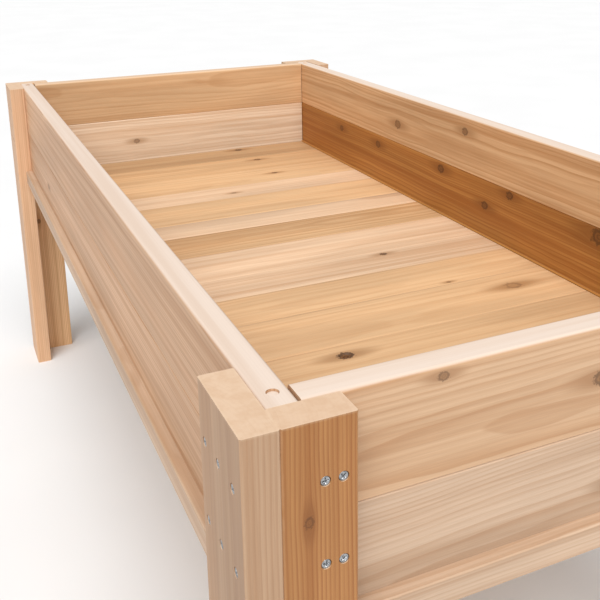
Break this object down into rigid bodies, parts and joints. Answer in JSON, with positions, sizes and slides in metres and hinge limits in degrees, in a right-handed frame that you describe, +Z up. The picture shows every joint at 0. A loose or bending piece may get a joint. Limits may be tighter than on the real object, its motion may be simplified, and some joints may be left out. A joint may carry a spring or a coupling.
{
  "type": "raised planter",
  "caption": "Raised cedar planter box on L-shaped board legs, with an open soil bed, ledged bottom rails and a boarded floor.",
  "frame": {"origin": "on the ground under the middle of the planter", "axes": "+X along the long side towards the right end, +Y towards the back, +Z up"},
  "size_m": [1.21, 0.584, 0.5],
  "materials": {
    "leg_cedar_pink": "planed, unfinished",
    "leg_cedar_amber": "planed, unfinished",
    "wall_cedar_pale": "planed, unfinished",
    "wall_cedar_tan": "planed, unfinished",
    "wall_cedar_dark": "planed, unfinished",
    "rail_cedar": "planed, unfinished",
    "floor_cedar_honey": "planed, unfinished",
    "floor_cedar_pink": "planed, unfinished",
    "floor_cedar_dark": "planed, unfinished",
    "bearer_cedar": "planed, unfinished",
    "plug_wood": "planed, unfinished end grain",
    "zinc_steel": "bright zinc plate"
  },
  "bodies": {
    "root": {"back_cleat": "bearer_cedar", "back_rail": "rail_cedar", "back_wall_lower": "wall_cedar_dark", "back_wall_upper": "wall_cedar_tan", "bearer_screws": "zinc_steel", "centre_bearer": "bearer_cedar", "cross_bearer": "bearer_cedar", "floor_board_01": "floor_cedar_honey", "floor_board_02": "floor_cedar_honey", "floor_board_03": "floor_cedar_honey", "floor_board_04": "floor_cedar_honey", "floor_board_05": "floor_cedar_honey", "floor_board_06": "floor_cedar_honey", "floor_board_07": "floor_cedar_pink", "floor_board_08": "floor_cedar_pink", "floor_board_09": "floor_cedar_dark", "floor_board_10": "floor_cedar_pink", "floor_board_11": "floor_cedar_honey", "floor_board_12": "floor_cedar_pink", "floor_board_13": "floor_cedar_honey", "floor_board_14": "floor_cedar_honey", "floor_board_15": "floor_cedar_honey", "front_cleat": "bearer_cedar", "front_rail": "rail_cedar", "front_wall_lower": "wall_cedar_pale", "front_wall_upper": "wall_cedar_pale", "left_rail": "rail_cedar", "left_wall_lower": "wall_cedar_tan", "left_wall_upper": "wall_cedar_tan", "leg_back_left_narrow": "leg_cedar_amber", "leg_back_left_wide": "leg_cedar_pink", "leg_back_right_narrow": "leg_cedar_amber", "leg_back_right_wide": "leg_cedar_pink", "leg_end_screws": "zinc_steel", "leg_front_left_narrow": "leg_cedar_amber", "leg_front_left_wide": "leg_cedar_pink", "leg_front_right_narrow": "leg_cedar_amber", "leg_front_right_wide": "leg_cedar_pink", "leg_side_screws": "zinc_steel", "right_rail": "rail_cedar", "right_wall_lower": "wall_cedar_pale", "right_wall_upper": "wall_cedar_pale", "rim_plugs": "plug_wood"}
  },
  "joints": []
}
